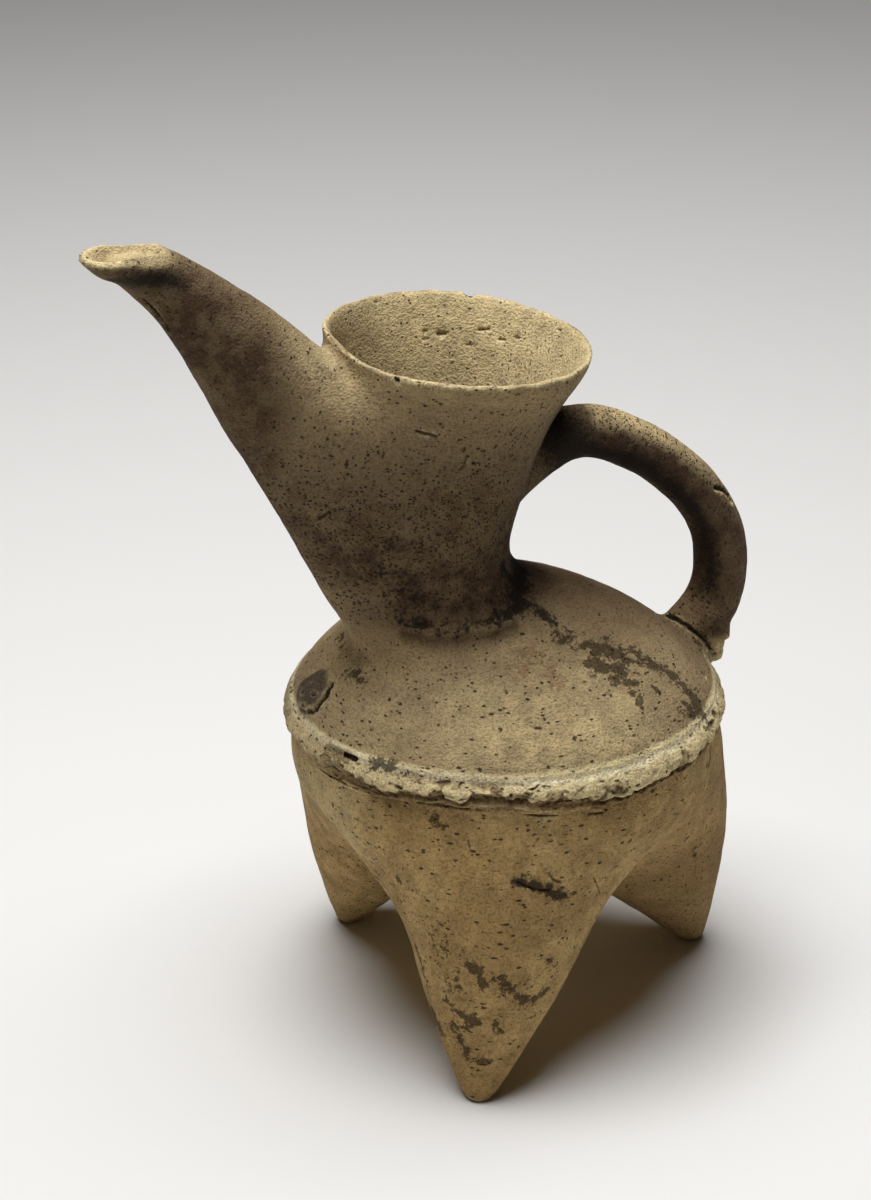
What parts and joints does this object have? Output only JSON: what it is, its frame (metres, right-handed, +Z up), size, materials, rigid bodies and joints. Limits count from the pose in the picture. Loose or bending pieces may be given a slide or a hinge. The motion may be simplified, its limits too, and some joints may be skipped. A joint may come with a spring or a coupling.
{
  "type": "pottery tripod pitcher",
  "caption": "Ancient unglazed pottery pitcher on hollow pointed legs, with a flared neck drawn up into a long beak spout, a rolled loop handle and a rough applied band round the body.",
  "frame": {"origin": "on the floor, under the middle of the pitcher's bounding box", "axes": "+Z up, -X towards the spout, +X towards the handle and the rear leg, -Y towards the front leg that the picture shows nearest"},
  "size_m": [0.2241, 0.1487, 0.2801],
  "materials": {
    "buff_clay": "matt unglazed buff clay, worn and stained"
  },
  "bodies": {
    "root": {"pitcher": "buff_clay"}
  },
  "joints": []
}
